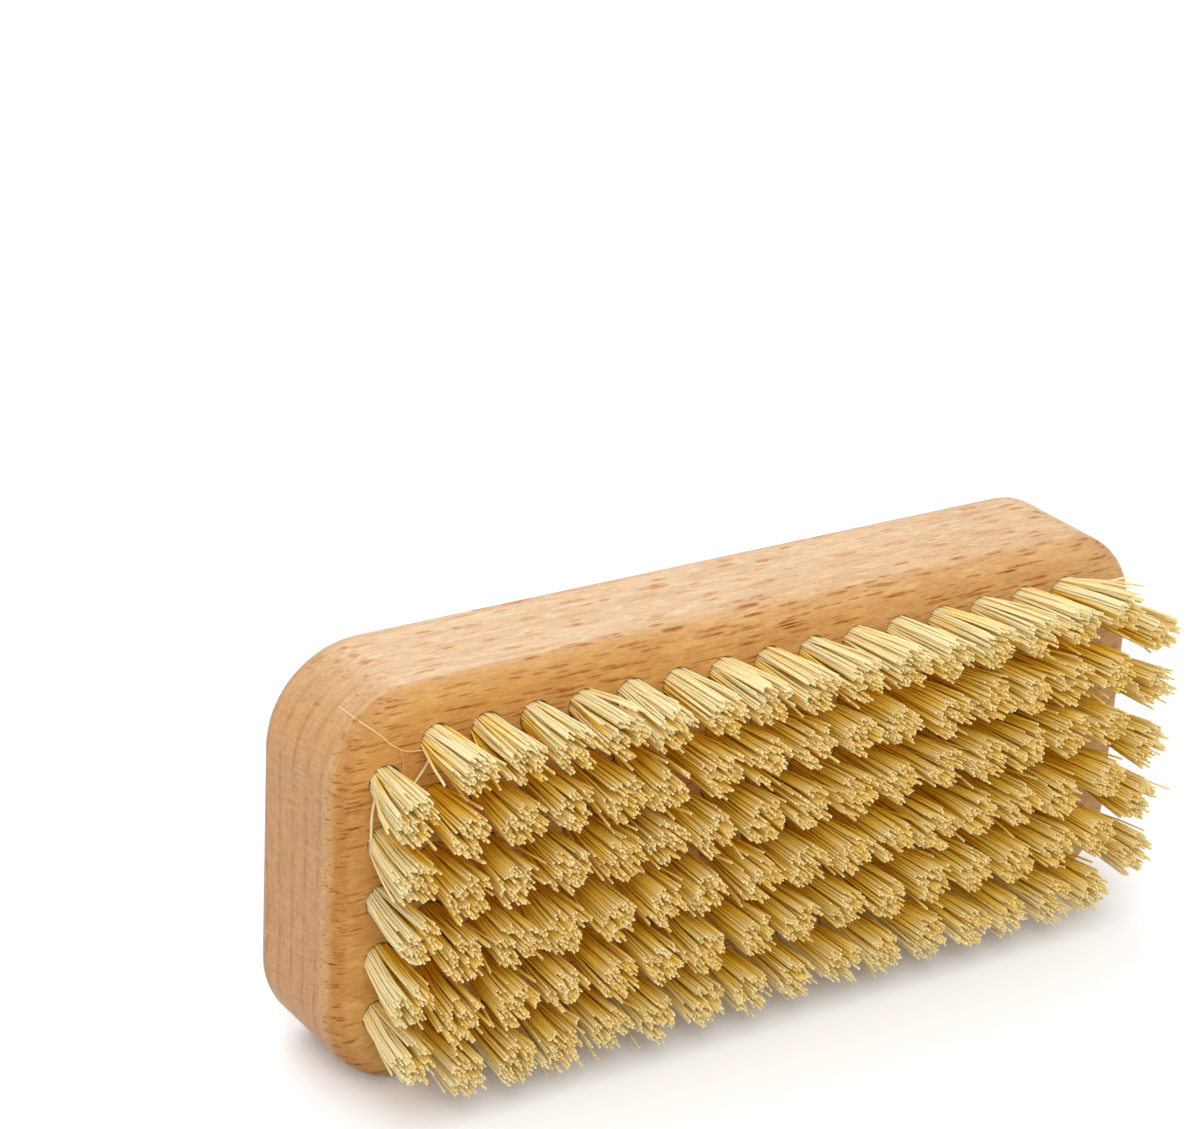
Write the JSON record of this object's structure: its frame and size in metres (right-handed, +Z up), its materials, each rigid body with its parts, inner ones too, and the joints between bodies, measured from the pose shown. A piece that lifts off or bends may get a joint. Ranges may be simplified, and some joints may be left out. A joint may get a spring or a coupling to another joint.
{
  "type": "nail brush",
  "caption": "Rectangular wooden nail brush with rounded corners and a plain flat back, its face set with even rows of short, stiff plant-fibre tufts.",
  "frame": {"origin": "centre of the brush's box in X and Y, on the surface that it lies on", "axes": "+X along the block, +Z up across the block's width, with the brush lying on one long side; the tufts point to -Y and the plain back faces +Y"},
  "size_m": [0.095, 0.0226, 0.041],
  "materials": {
    "beech": "fine-sanded, unvarnished beech with short dark ray flecks along the grain and paler, finely ringed ends",
    "fibre": "stiff natural plant fibre, cream to straw, darker amber between the tufts, trimmed flat"
  },
  "bodies": {
    "root": {"block": "beech", "tufts_01_1": "fibre", "tufts_01_2": "fibre", "tufts_02_1": "fibre", "tufts_02_2": "fibre", "tufts_02_3": "fibre", "tufts_03_1": "fibre", "tufts_03_2": "fibre", "tufts_03_3": "fibre", "tufts_04_1": "fibre", "tufts_04_2": "fibre", "tufts_04_3": "fibre", "tufts_05_1": "fibre", "tufts_05_2": "fibre", "tufts_05_3": "fibre", "tufts_06_1": "fibre", "tufts_06_2": "fibre", "tufts_06_3": "fibre", "tufts_07_1": "fibre", "tufts_07_2": "fibre", "tufts_07_3": "fibre", "tufts_08_1": "fibre", "tufts_08_2": "fibre", "tufts_08_3": "fibre", "tufts_09_1": "fibre", "tufts_09_2": "fibre", "tufts_09_3": "fibre", "tufts_10_1": "fibre", "tufts_10_2": "fibre", "tufts_10_3": "fibre", "tufts_11_1": "fibre", "tufts_11_2": "fibre", "tufts_11_3": "fibre", "tufts_12_1": "fibre", "tufts_12_2": "fibre", "tufts_12_3": "fibre", "tufts_13_1": "fibre", "tufts_13_2": "fibre", "tufts_13_3": "fibre", "tufts_14_1": "fibre", "tufts_14_2": "fibre", "tufts_14_3": "fibre", "tufts_15_1": "fibre", "tufts_15_2": "fibre", "tufts_15_3": "fibre", "tufts_16_1": "fibre", "tufts_16_2": "fibre", "tufts_16_3": "fibre", "tufts_17_1": "fibre", "tufts_17_2": "fibre"}
  },
  "joints": []
}
